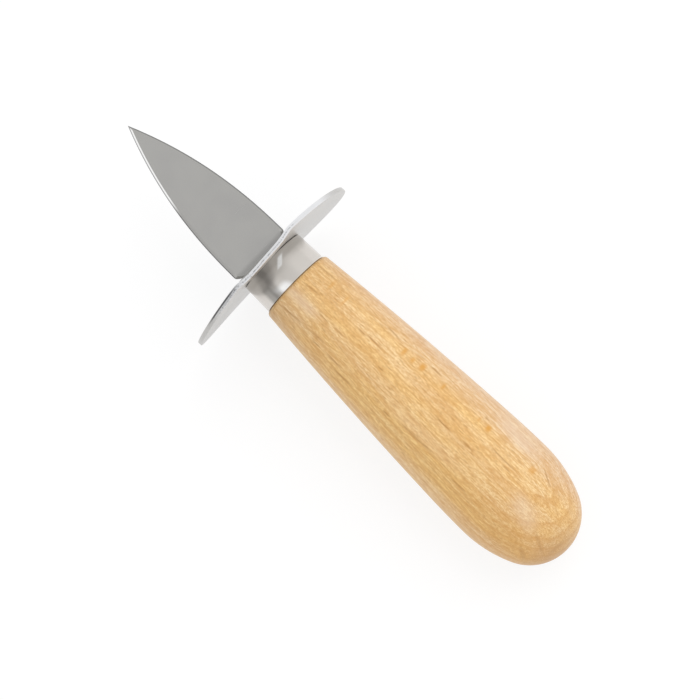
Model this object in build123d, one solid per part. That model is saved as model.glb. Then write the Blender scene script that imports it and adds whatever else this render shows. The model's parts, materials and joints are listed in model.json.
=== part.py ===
from build123d import *
import math
import os

# An oyster knife: a lancet blade, a bent round guard, a drawn ferrule and a turned beech handle.
# Lengths are millimetres and angles are degrees.
# While it is built, +X runs along the handle's axis to the tip, Y runs across the blade's width
# and Z is square to the blade's flat sides. X is 0 where the wood meets the ferrule.
# At the end the knife is laid down as it lies on a table, on the guard's rim and the handle's belly.

# Handle
handle_length = 98.9
belly_radius = 15.5
belly_front_arc_radius = 400.0
belly_back_arc_radius = 36.0
butt_arc_radius = 13.6
shoulder_length = 0.9
shoulder_height = 0.75

# Ferrule
ferrule_length = 8.9
ferrule_front_radius = 9.85
ferrule_back_radius = 10.1
ferrule_wall = 0.6
ferrule_edge_round = 0.9
ferrule_lip_bevel = 0.2
tenon_clearance = 0.03
tenon_end_gap = 0.2
shoulder_gap = 0.1

# Guard
guard_diameter = 55.3
guard_thickness = 1.2
guard_bend_radius = 212.0
guard_edge_bevel = 0.2
seat_gap = 0.02

# Blade
blade_length = 50.9
lancet_length = 48.5
blade_width = 18.1
blade_thickness = 2.0
bevel_width = 0.95
edge_thickness = 0.4
heel_seat_width = 9.2
heel_corner_round = 0.8

# Tang, which stands a little to one side of the handle's axis and is thinner than the blade
tang_offset = 1.1
tang_thickness = 1.6
tang_length = 62.0
tang_width = 6.4
tang_end_width = 4.0
tang_point_length = 3.0
notch_radius = 0.8
notch_pitch = 9.0
notch_count = 4
notch_start = 20.0
slot_clearance = 0.15

# Bore for the tang
bore_diameter = 7.4
bore_end_gap = 4.0
drill_point_angle = 118.0
resin_skin = 0.02

# How far a cutting tool runs past the face that it cuts
overrun = 2.0

# Sizes that follow from those above
guard_radius = guard_diameter / 2
bend_inner_radius = guard_bend_radius - guard_thickness
ferrule_seat_radius = ferrule_front_radius - ferrule_edge_round
tenon_length = ferrule_length - ferrule_wall - tenon_end_gap
tenon_radius = ferrule_front_radius - ferrule_wall - tenon_clearance


def bend_drop(radius, distance):
    """How far a bent sheet has fallen back at a distance from the middle of its bend."""
    return radius - math.sqrt(radius ** 2 - distance ** 2)


# The bent guard touches the ferrule's flat end only at the edge that is farthest from the tang
guard_back_x = ferrule_length + bend_drop(bend_inner_radius, ferrule_seat_radius + tang_offset) + seat_gap
guard_front_x = guard_back_x + guard_thickness
heel_x = guard_front_x + seat_gap
tip_x = heel_x + blade_length
widest_x = tip_x - lancet_length
tang_end_x = heel_x - tang_length
bore_end_x = tang_end_x - bore_end_gap

# The butt's arc is centred on the handle's axis, and the arc behind the belly runs into it
butt_center_x = butt_arc_radius - handle_length
back_arc_drop = belly_back_arc_radius - belly_radius
belly_x = butt_center_x + math.sqrt((belly_back_arc_radius - butt_arc_radius) ** 2 - back_arc_drop ** 2)


def taper_lines(shoulder_top):
    """The straight taper from the bevelled shoulder, and the long arc that levels it at the belly."""
    arc_center_y = belly_radius - belly_front_arc_radius
    ahead = shoulder_top[0] - belly_x
    above = shoulder_top[1] - arc_center_y
    # The angle from the vertical at which the straight taper touches the arc
    meeting = math.atan2(ahead, above) - math.acos(belly_front_arc_radius / math.hypot(ahead, above))
    belly_front = CenterArc(
        (belly_x, arc_center_y), belly_front_arc_radius, 90 - math.degrees(meeting), math.degrees(meeting)
    )
    return [Line(shoulder_top, belly_front @ 0), belly_front]


def handle_outline():
    """The handle's half outline in the XY plane, from its front shoulder to the end of the butt."""
    shoulder_top = (-shoulder_length, ferrule_back_radius + shoulder_height)
    shoulder = Line((0, ferrule_back_radius), shoulder_top)
    taper, belly_front = taper_lines(shoulder_top)
    meeting_angle = math.degrees(math.atan2(belly_x - butt_center_x, back_arc_drop))
    belly_back = CenterArc((belly_x, -back_arc_drop), belly_back_arc_radius, 90, meeting_angle)
    butt = CenterArc((butt_center_x, 0), butt_arc_radius, 90 + meeting_angle, 90 - meeting_angle)
    return [shoulder, taper, belly_front, belly_back, butt]


def tang_bore(radius):
    """The drilled space that the tang lies in, from the tenon's end to the drill's point."""
    point_length = radius / math.tan(math.radians(drill_point_angle / 2))
    outline = Polyline(
        (tenon_length, 0),
        (tenon_length, radius),
        (bore_end_x + point_length, radius),
        (bore_end_x, 0),
        close=True,
    )
    return Pos(0, tang_offset, 0) * revolve(make_face(outline), Axis.X)


def make_handle():
    """Turned handle with the tenon that carries the ferrule and the bore for the tang."""
    tenon = Polyline(
        (0, ferrule_back_radius),
        (0, tenon_radius),
        (tenon_length, tenon_radius),
        (tenon_length, 0),
        (-handle_length, 0),
    )
    body = revolve(make_face(handle_outline() + [tenon]), Axis.X)
    return body - tang_bore(bore_diameter / 2)


def tang_slot(length, x):
    """A cutter for the slot that the tang passes through, centred on x."""
    cutter = Box(length + overrun, tang_width + 2 * slot_clearance, tang_thickness + 2 * slot_clearance)
    return Pos(x, tang_offset, 0) * cutter


def make_ferrule():
    """Drawn cup, a little wider at the wood, with the tang's slot through its closed end."""
    outside = Polyline(
        (shoulder_gap, 0),
        (shoulder_gap, ferrule_back_radius),
        (ferrule_length, ferrule_front_radius),
        (ferrule_length, 0),
        close=True,
    )
    inside = Polyline(
        (shoulder_gap - overrun, 0),
        (shoulder_gap - overrun, tenon_radius + tenon_clearance),
        (ferrule_length - ferrule_wall, tenon_radius + tenon_clearance),
        (ferrule_length - ferrule_wall, 0),
        close=True,
    )
    body = revolve(make_face(outside), Axis.X)
    rims = body.edges().filter_by(GeomType.CIRCLE).sort_by(Axis.X)
    body = fillet(rims[-1], ferrule_edge_round)
    rims = body.edges().filter_by(GeomType.CIRCLE).sort_by(Axis.X)
    body = chamfer(rims[0], ferrule_lip_bevel)
    body -= revolve(make_face(inside), Axis.X)
    return body - tang_slot(ferrule_wall, ferrule_length - ferrule_wall / 2)


def make_guard():
    """Round sheet guard, bent so that its two sides lean back to the handle, slotted for the tang."""
    axis_x = guard_front_x - guard_bend_radius
    front = Cylinder(guard_bend_radius, guard_diameter + overrun)
    back = Cylinder(bend_inner_radius, guard_diameter + 2 * overrun)
    # Half a turn puts the cylinders' seams on the far side, away from the disc
    sheet = Pos(axis_x, 0, 0) * Rot(0, 0, 180) * (front - back)
    blank_length = 2 * (guard_thickness + bend_drop(guard_bend_radius, guard_radius))
    blank = Pos(guard_front_x, 0, 0) * Rot(0, 90, 0) * Cylinder(guard_radius, 2 * blank_length)
    disc = (sheet & blank).solid()
    rims = disc.edges().filter_by(lambda edge: edge.length > guard_radius)
    disc = chamfer(rims, guard_edge_bevel)
    return Pos(0, tang_offset, 0) * disc - tang_slot(guard_thickness, guard_back_x + guard_thickness / 2)


def ground_disc(radius):
    """A flat disc with both edges of its rim ground to a bevel."""
    rim_outline = Polyline(
        (0, -blade_thickness / 2),
        (radius - bevel_width, -blade_thickness / 2),
        (radius, -edge_thickness / 2),
        (radius, edge_thickness / 2),
        (radius - bevel_width, blade_thickness / 2),
        (0, blade_thickness / 2),
        close=True,
    )
    return revolve(Plane.XZ * make_face(rim_outline), Axis.Z)


def heel_plan():
    """The blade seen flat: its heel, with the corners cut back to the seat on the guard."""
    half_width = blade_width / 2
    outline = Polyline(
        (heel_x, -heel_seat_width / 2),
        (widest_x, -half_width),
        (tip_x + overrun, -half_width),
        (tip_x + overrun, half_width),
        (widest_x, half_width),
        (heel_x, heel_seat_width / 2),
        close=True,
    )
    face = make_face(outline)
    corners = face.vertices().filter_by(lambda corner: abs(corner.X - widest_x) < seat_gap)
    return fillet(corners, heel_corner_round)


def make_lancet():
    """Pointed blade: what two large ground discs have in common, so its bevels meet at the tip."""
    half_width = blade_width / 2
    edge_radius = (lancet_length ** 2 + half_width ** 2) / blade_width
    across = edge_radius - half_width
    lens = Pos(widest_x, across, 0) * ground_disc(edge_radius)
    lens &= Pos(widest_x, -across, 0) * ground_disc(edge_radius)
    plan = extrude(heel_plan(), blade_thickness / 2 + overrun, both=True)
    return lens & plan


def make_tang():
    """Flat tang with a pointed end and notches along both edges, which key it into the resin."""
    outline = Polyline(
        (heel_x, -tang_width / 2),
        (tang_end_x + tang_point_length, -tang_end_width / 2),
        (tang_end_x, 0),
        (tang_end_x + tang_point_length, tang_end_width / 2),
        (heel_x, tang_width / 2),
        close=True,
    )
    plan = make_face(outline)
    taper = (tang_width - tang_end_width) / 2 / (tang_length - tang_point_length)
    for number in range(notch_count):
        along = notch_start + number * notch_pitch
        edge_y = tang_width / 2 - taper * along
        plan -= Pos(heel_x - along, edge_y) * Circle(notch_radius)
        plan -= Pos(heel_x - along, -edge_y) * Circle(notch_radius)
    return extrude(plan, tang_thickness / 2, both=True)


def make_blade():
    """Blade, heel and tang in one piece."""
    return Pos(0, tang_offset, 0) * (make_lancet() + make_tang())


def make_tang_resin(blade):
    """Cured resin that fills the bore round the tang."""
    return tang_bore(bore_diameter / 2 - resin_skin) - blade


def resting_angle():
    """The angle of a table top that touches the guard's bevelled rim and the arc behind the belly."""
    across = guard_back_x + guard_edge_bevel - belly_x
    up = back_arc_drop + guard_radius
    return math.degrees(math.acos(belly_back_arc_radius / math.hypot(across, up)) - math.atan2(across, up))


def lay_down(shapes):
    """Turn the knife into its lying place, with the origin under the middle of its box."""
    turn = Rot(0, -resting_angle(), 0)
    turned = {name: turn * shape for name, shape in shapes.items()}
    box = Compound(children=[Compound([*shape.solids()]) for shape in turned.values()]).bounding_box()
    center = box.center()
    shift = Pos(-center.X, -center.Y, -box.min.Z)
    return {name: shift * shape for name, shape in turned.items()}


def make_knife():
    """Every piece of the knife, by name."""
    blade = make_blade()
    return {
        "handle": make_handle(),
        "ferrule": make_ferrule(),
        "guard": make_guard(),
        "blade": blade,
        "tang_resin": make_tang_resin(blade),
    }


os.makedirs("parts", exist_ok=True)
for name, shape in lay_down(make_knife()).items():
    export_step(shape, f"parts/{name}.step")
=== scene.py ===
import json
import logging
import math
from dataclasses import dataclass, field
from enum import Enum
from typing import Any, Mapping, Sequence

import bpy
import numpy as np
from mathutils import Matrix


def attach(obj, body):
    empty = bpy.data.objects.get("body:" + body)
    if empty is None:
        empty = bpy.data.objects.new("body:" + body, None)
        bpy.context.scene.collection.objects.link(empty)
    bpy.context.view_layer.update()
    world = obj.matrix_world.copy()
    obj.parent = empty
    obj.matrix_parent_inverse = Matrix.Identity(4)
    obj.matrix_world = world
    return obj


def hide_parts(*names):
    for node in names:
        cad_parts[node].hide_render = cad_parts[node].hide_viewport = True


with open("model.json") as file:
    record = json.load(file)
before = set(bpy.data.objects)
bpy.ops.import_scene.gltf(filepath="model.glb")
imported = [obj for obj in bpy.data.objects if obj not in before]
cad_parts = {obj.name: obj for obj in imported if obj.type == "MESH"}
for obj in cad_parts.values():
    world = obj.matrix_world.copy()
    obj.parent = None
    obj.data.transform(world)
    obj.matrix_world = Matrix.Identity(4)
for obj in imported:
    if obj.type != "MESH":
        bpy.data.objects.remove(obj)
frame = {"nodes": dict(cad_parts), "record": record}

# The look of a guarded oyster knife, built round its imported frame.
# Lengths are metres, angles are radians unless a name says degrees.
# Each piece is worked out in the knife's own directions: x runs along the handle's axis to the tip,
# y runs across the blade's width and z is square to the blade's flat sides. x is 0 where the wood
# meets the ferrule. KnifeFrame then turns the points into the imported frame.

LOG = logging.getLogger("oyster_knife")
MM = 0.001
ROOT_BODY = "root"

# The photograph was taken from a little to the butt's side of the blade's normal, in degrees, so
# a place on the knife shows in it at x + z * VIEW_SLOPE
VIEW_PITCH = 3.0
VIEW_SLOPE = math.tan(math.radians(VIEW_PITCH))

# From the wood's shoulder to the mount's point on the blade, along the handle's axis
MOUNT_AHEAD = 28.91018 * MM

# The tang's slot, and how far the tang stands to the side of the handle's axis
SLOT_WIDTH = 6.7 * MM
SLOT_HEIGHT = 1.9 * MM
TANG_ASIDE = 1.1 * MM

Pair = tuple[float, float]
Triple = tuple[float, float, float]


class End(Enum):
    """How a surface's first or last row of points ends."""

    OPEN = "open"
    POLE = "pole"


@dataclass(frozen=True)
class KnifeFrame:
    """The knife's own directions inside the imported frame."""

    origin: np.ndarray
    along: np.ndarray
    across: np.ndarray
    up: np.ndarray

    @classmethod
    def from_record(
        cls, record: Mapping[str, Any], ahead: float, aside: float, above: float
    ) -> "KnifeFrame":
        """Work the directions out from the mount on the blade's flat side.

        Args:
            record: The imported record.
            ahead: How far the mount's point lies in front of the wood's shoulder.
            aside: How far it lies to the side of the handle's axis.
            above: How far it lies above the handle's axis.

        Returns:
            The frame whose z is the mount's axis.
        """
        mount = record["mounts"][0]
        up = np.array(mount["axis"], dtype=float)
        up /= np.linalg.norm(up)
        across = np.array((0.0, 1.0, 0.0))
        along = np.cross(across, up)
        origin = np.array(mount["pos_m"], dtype=float) - ahead * along - aside * across - above * up
        return cls(origin, along, across, up)

    def axes(self) -> np.ndarray:
        """The knife's three directions as rows."""
        return np.stack((self.along, self.across, self.up))

    def place(self, points: np.ndarray) -> np.ndarray:
        """Turn points given along x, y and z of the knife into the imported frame."""
        return self.origin + points @ self.axes()


# Surfaces


@dataclass
class Surface:
    """A grid of points, with rows along a profile and columns round it that close on themselves."""

    points: np.ndarray
    wraps_rows: bool = False
    start: End = End.OPEN
    finish: End = End.OPEN

    def faces(self, offset: int) -> tuple[np.ndarray, np.ndarray]:
        """Index the grid's quads and the triangles at its poles.

        Quad (r, c) joins points (r, c), (r, c + 1), (r + 1, c + 1) and (r + 1, c). The column after
        the last is the first, and so is the row where rows wrap. A pole keeps one point of its row.

        Args:
            offset: The number of the grid's first point in the mesh.

        Returns:
            The quads and the triangles, as rows of point numbers.
        """
        rows, columns = self.points.shape[:2]
        index = offset + np.arange(rows * columns).reshape(rows, columns)
        index = np.concatenate((index, index[:, :1]), axis=1)
        if self.wraps_rows:
            index = np.concatenate((index, index[:1]), axis=0)
        first = 1 if self.start is End.POLE else 0
        last = index.shape[0] - (1 if self.finish is End.POLE else 0)
        body = index[first:last]
        quads = np.stack((body[:-1, :-1], body[:-1, 1:], body[1:, 1:], body[1:, :-1]), axis=-1)
        fans = []
        if self.start is End.POLE:
            ring = index[1]
            fans.append(np.stack((np.full(ring.size - 1, index[0, 0]), ring[1:], ring[:-1]), axis=-1))
        if self.finish is End.POLE:
            ring = index[-2]
            fans.append(np.stack((np.full(ring.size - 1, index[-1, 0]), ring[:-1], ring[1:]), axis=-1))
        triangles = np.concatenate(fans) if fans else np.empty((0, 3), dtype=int)
        return quads.reshape(-1, 4), triangles


def make_piece(
    name: str,
    surfaces: Sequence[Surface],
    place: KnifeFrame,
    material: bpy.types.Material,
    sharp_degrees: float,
) -> bpy.types.Object:
    """Put surfaces into one mesh object at the origin, with its place in its points.

    Args:
        name: The piece's name.
        surfaces: Grids in the knife's own directions.
        place: The frame that the points are turned into.
        material: The piece's only material.
        sharp_degrees: The turn from which an edge stays sharp on the smoothly shaded piece.

    Returns:
        The new object, linked to the scene.
    """
    points, quads, triangles, offset = [], [], [], 0
    for surface in surfaces:
        four, three = surface.faces(offset)
        points.append(surface.points.reshape(-1, 3))
        quads.append(four)
        triangles.append(three)
        offset += points[-1].shape[0]
    four, three = np.concatenate(quads), np.concatenate(triangles)
    used, order = np.unique(np.concatenate((four.ravel(), three.ravel())), return_inverse=True)
    four = order[: four.size].reshape(-1, 4)
    three = order[four.size:].reshape(-1, 3)
    mesh = bpy.data.meshes.new(name)
    mesh.from_pydata(place.place(np.concatenate(points)[used]), [], four.tolist() + three.tolist())
    mesh.validate()
    face_outwards(mesh)
    mesh.shade_smooth()
    mesh.set_sharp_from_angle(angle=math.radians(sharp_degrees))
    mesh.materials.append(material)
    piece = bpy.data.objects.new(name, mesh)
    bpy.context.scene.collection.objects.link(piece)
    return piece


def face_outwards(mesh: bpy.types.Mesh) -> None:
    """Turn all faces round where the mesh's signed volume says that they point inwards."""
    mesh.calc_loop_triangles()
    corners = np.empty(len(mesh.loop_triangles) * 3, dtype=np.int32)
    mesh.loop_triangles.foreach_get("vertices", corners)
    places = np.empty(len(mesh.vertices) * 3)
    mesh.vertices.foreach_get("co", places)
    a, b, c = (places.reshape(-1, 3)[corners.reshape(-1, 3)[:, k]] for k in range(3))
    if np.einsum("ij,ij->i", a, np.cross(b, c)).sum() < 0:
        mesh.flip_normals()


def arc(center: Pair, radius: float, start: float, stop: float, count: int) -> np.ndarray:
    """Points on a circle in the profile's plane.

    Args:
        center: The circle's centre, along and out from the axis.
        radius: The circle's radius.
        start: The first point's angle from the outward direction, towards +x.
        stop: The last point's angle.
        count: How many points there are.

    Returns:
        Rows of (along, out).
    """
    angles = np.linspace(start, stop, count)
    return np.stack((center[0] + radius * np.sin(angles), center[1] + radius * np.cos(angles)), axis=-1)


def run(start: Pair, stop: Pair, count: int) -> np.ndarray:
    """Points on a straight line between two places in the profile's plane."""
    return np.linspace(np.array(start), np.array(stop), count)


def join(*parts: np.ndarray) -> np.ndarray:
    """Put profile parts behind each other, each without the last point of the one before."""
    return np.concatenate([part[:-1] for part in parts[:-1]] + [parts[-1]])


def ring_angles(columns: int) -> np.ndarray:
    """Angles evenly spaced round the x axis, from z towards y."""
    return np.linspace(0.0, 2 * math.pi, columns, endpoint=False)


def turned(profile: np.ndarray, columns: int, sideways: np.ndarray | float = 0.0) -> np.ndarray:
    """Carry a profile round the x axis.

    Point (r, c) is (along_r, sideways_r + out_r * sin(a_c), out_r * cos(a_c)), with a_c evenly
    spaced round the circle.

    Args:
        profile: Rows of (along, out).
        columns: How many points there are round the axis.
        sideways: How far each row's middle lies towards +y.

    Returns:
        A grid of points.
    """
    angle = ring_angles(columns)
    out = profile[:, 1][:, None]
    along = np.broadcast_to(profile[:, 0][:, None], (profile.shape[0], columns))
    shift = np.broadcast_to(np.asarray(sideways, dtype=float).reshape(-1, 1), along.shape)
    return np.stack((along, shift + out * np.sin(angle), out * np.cos(angle)), axis=-1)


def slot_ring(columns: int) -> np.ndarray:
    """The distance from the middle of the tang's slot to its edge, for the same angles as turned().

    A ray at angle a meets the slot at min(width / |sin a|, height / |cos a|), both halved.
    """
    angle = ring_angles(columns)
    with np.errstate(divide="ignore"):
        return np.minimum(SLOT_WIDTH / 2 / np.abs(np.sin(angle)), SLOT_HEIGHT / 2 / np.abs(np.cos(angle)))


# Materials, whose patterns count in millimetres, as Bench.knife_place() gives them


class Signal:
    """A node's output, with arithmetic that adds Math nodes to the material."""

    def __init__(self, bench: "Bench", socket: bpy.types.NodeSocket | None) -> None:
        """Keep the bench and the socket, which a material's last node doesn't have."""
        self.bench = bench
        self.socket = socket

    def _maths(self, operation: str, first: "Value", second: "Value | None" = None) -> "Signal":
        """Add one Math node."""
        values = {0: first} if second is None else {0: first, 1: second}
        return self.bench.node("ShaderNodeMath", {"operation": operation}, values)

    def __add__(self, other: "Value") -> "Signal":
        """Sum."""
        return self._maths("ADD", self, other)

    def __radd__(self, other: "Value") -> "Signal":
        """Sum, with the number first."""
        return self._maths("ADD", other, self)

    def __sub__(self, other: "Value") -> "Signal":
        """Difference."""
        return self._maths("SUBTRACT", self, other)

    def __rsub__(self, other: "Value") -> "Signal":
        """Difference, with the number first."""
        return self._maths("SUBTRACT", other, self)

    def __mul__(self, other: "Value") -> "Signal":
        """Product."""
        return self._maths("MULTIPLY", self, other)

    def __rmul__(self, other: "Value") -> "Signal":
        """Product, with the number first."""
        return self._maths("MULTIPLY", other, self)

    def __truediv__(self, other: "Value") -> "Signal":
        """Quotient."""
        return self._maths("DIVIDE", self, other)

    def __pow__(self, other: "Value") -> "Signal":
        """Power."""
        return self._maths("POWER", self, other)

    def absolute(self) -> "Signal":
        """Distance from zero."""
        return self._maths("ABSOLUTE", self)

    def fraction(self) -> "Signal":
        """What is left after the whole number."""
        return self._maths("FRACT", self)

    def largest(self, other: "Value") -> "Signal":
        """The larger of two values."""
        return self._maths("MAXIMUM", self, other)

    def step(self, low: float, high: float) -> "Signal":
        """A smooth rise from 0 at low to 1 at high, or a fall where high is the lower."""
        ends = (low, high, 0.0, 1.0) if low < high else (high, low, 1.0, 0.0)
        settings = {"interpolation_type": "SMOOTHSTEP", "clamp": True}
        names = ("From Min", "From Max", "To Min", "To Max")
        inputs = {"Value": self, **dict(zip(names, ends))}
        return self.bench.node("ShaderNodeMapRange", settings, inputs)

    def output(self, name: str) -> "Signal":
        """Another output of the same node."""
        return Signal(self.bench, self.socket.node.outputs[name])


Value = Signal | float

# The Mix node's colour sockets by number, because several of its sockets share a name
MIX_FACTOR, MIX_FIRST, MIX_SECOND, MIX_RESULT = 0, 6, 7, 2


class Bench:
    """Where the nodes of one material, or of the world, are put together."""

    def __init__(self, owner: bpy.types.Material | bpy.types.World) -> None:
        """Start with an empty tree."""
        owner.use_nodes = True
        self.owner = owner
        self.tree = owner.node_tree
        self.tree.nodes.clear()

    @classmethod
    def for_material(cls, name: str) -> "Bench":
        """Start a new material."""
        return cls(bpy.data.materials.new(name))

    def node(
        self,
        kind: str,
        settings: Mapping[str, Any] | None = None,
        inputs: Mapping[str | int, Any] | None = None,
        output: str | int = 0,
    ) -> Signal:
        """Add a node.

        Args:
            kind: The node's type.
            settings: Its properties, set first.
            inputs: Values or signals by socket name or number.
            output: The output that the returned signal stands for.

        Returns:
            The signal of one output.
        """
        node = self.tree.nodes.new(kind)
        for key, value in (settings or {}).items():
            setattr(node, key, value)
        for key, value in (inputs or {}).items():
            socket = node.inputs[key]
            if isinstance(value, Signal):
                self.tree.links.new(value.socket, socket)
            elif isinstance(value, tuple) and socket.type == "RGBA":
                socket.default_value = (*value, 1.0)
            else:
                socket.default_value = value
        return Signal(self, node.outputs[output] if len(node.outputs) else None)

    def mix(self, factor: Value, first: Signal | Triple, second: Signal | Triple) -> Signal:
        """Mix two colours."""
        settings = {"data_type": "RGBA", "clamp_factor": True}
        inputs = {MIX_FACTOR: factor, MIX_FIRST: first, MIX_SECOND: second}
        return self.node("ShaderNodeMix", settings, inputs, MIX_RESULT)

    def stretch(self, vector: Signal, scale: Triple, shift: Triple = (0.0, 0.0, 0.0)) -> Signal:
        """Scale and then shift a vector."""
        settings = {"operation": "MULTIPLY_ADD"}
        return self.node("ShaderNodeVectorMath", settings, {0: vector, 1: scale, 2: shift})

    def noise(self, vector: Signal, detail: float = 2.0, roughness: float = 0.5) -> Signal:
        """Noise between 0 and 1 at the vector's own scale."""
        inputs = {"Vector": vector, "Scale": 1.0, "Detail": detail, "Roughness": roughness}
        return self.node("ShaderNodeTexNoise", {"noise_dimensions": "3D"}, inputs)

    def cells(self, vector: Signal) -> Signal:
        """Distance to the nearest cell's point. Its Color output is random for each cell."""
        inputs = {"Vector": vector, "Scale": 1.0}
        return self.node("ShaderNodeTexVoronoi", {"voronoi_dimensions": "3D"}, inputs)

    def knife_place(self, place: KnifeFrame) -> Signal:
        """Millimetres along x, y and z of the knife, from the object's own coordinates."""
        coordinates = self.node("ShaderNodeTexCoord", output="Object")
        inputs = {
            "Vector": coordinates,
            "Location": tuple(-(place.axes() @ place.origin) / MM),
            "Rotation": tuple(Matrix(place.axes().tolist()).to_euler("XYZ")),
            "Scale": (1 / MM, 1 / MM, 1 / MM),
        }
        return self.node("ShaderNodeMapping", {"vector_type": "POINT"}, inputs)

    def split(self, vector: Signal) -> tuple[Signal, Signal, Signal]:
        """The three parts of a vector."""
        parts = self.node("ShaderNodeSeparateXYZ", inputs={0: vector})
        return parts, parts.output("Y"), parts.output("Z")

    def bump(self, height: Signal, distance: float, strength: float) -> Signal:
        """A normal from a height, which is in units of the distance."""
        inputs = {"Height": height, "Distance": distance, "Strength": strength}
        return self.node("ShaderNodeBump", inputs=inputs)

    def surface(self, inputs: Mapping[str, Any]) -> bpy.types.Material:
        """End the material in one Principled shader."""
        shader = self.node("ShaderNodeBsdfPrincipled", inputs=inputs)
        self.node("ShaderNodeOutputMaterial", inputs={"Surface": shader})
        return self.owner


# The two colours that most of the grain is drawn in
AMBER = (0.66, 0.32, 0.07)
PORE = (0.5, 0.23, 0.055)

# Where a mark fades out along and across, as shares of its half sizes
MARK_END_FADE = (1.3, 0.3)
MARK_SIDE_FADE = (1.6, 0.2)

# The value that noise lies evenly about
NOISE_MIDDLE = 0.5


@dataclass(frozen=True)
class Grain:
    """One layer of the wood's grain: noise stretched along the fibres, and the colour that it adds."""

    colour: Triple
    share: float
    rise: Pair
    scale: Triple
    shift: Triple
    detail: float
    roughness: float

    def noise(self, bench: Bench, spot: Signal) -> Signal:
        """The layer's noise."""
        return bench.noise(bench.stretch(spot, self.scale, self.shift), self.detail, self.roughness)

    def tint(self, bench: Bench, noise: Signal, colour: Signal | Triple) -> Signal:
        """Mix the layer's colour in where its noise is high."""
        return bench.mix(noise.step(*self.rise) * self.share, colour, self.colour)


@dataclass(frozen=True)
class Dashes:
    """Short dashes in the wood: the middles of stretched cells, of which chance leaves some out."""

    colour: Triple
    share: float
    scale: Triple
    shift: Triple
    chance: Pair
    middle: Pair = (0.36, 0.08)

    def mask(self, bench: Bench, spot: Signal) -> Signal:
        """A mask that is 1 in the middle of a dash.

        Args:
            bench: The material's bench.
            spot: The place on the knife in millimetres.

        Returns:
            The mask.
        """
        cells = bench.cells(bench.stretch(spot, self.scale, self.shift))
        draw = bench.node("ShaderNodeSeparateColor", inputs={0: cells.output("Color")})
        return cells.step(*self.middle) * draw.step(*self.chance)


@dataclass(frozen=True)
class WoodZone:
    """A part of the handle with a tone of its own, between smooth edges along x and across y."""

    colour: Triple
    share: float
    along: tuple[Pair, ...]
    across: tuple[Pair, ...]

    def tint(self, bench: Bench, x: Signal, y: Signal, colour: Signal) -> Signal:
        """Mix the zone's colour in."""
        edges = [y.step(*edge) for edge in self.across] + [x.step(*edge) for edge in self.along]
        return bench.mix(math.prod(edges, start=self.share), colour, self.colour)


@dataclass(frozen=True)
class WoodMark:
    """A line, fleck or bloom on the wood, by its middle and its half sizes."""

    x: float
    y: float
    half_length: float
    half_width: float
    lean: float
    strength: float

    def mask(self, x: Signal, y: Signal, fray: Signal) -> Signal:
        """A mask that is as high as the strength in the middle and fades out past the half sizes.

        Args:
            x: The place along the knife.
            y: The place across the knife.
            fray: How far the fibres push the edge aside, in millimetres.

        Returns:
            The mask.
        """
        run_x = (x - self.x).absolute() / self.half_length
        run_y = (y - self.y - (x - self.x) * self.lean + fray).absolute() / self.half_width
        return run_x.step(*MARK_END_FADE) * run_y.step(*MARK_SIDE_FADE) * self.strength


@dataclass(frozen=True)
class MarkSet:
    """Marks of one kind, with their colour and by how much the fibres fray their edges."""

    colour: Triple
    fray: float
    marks: tuple[WoodMark, ...]


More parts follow.
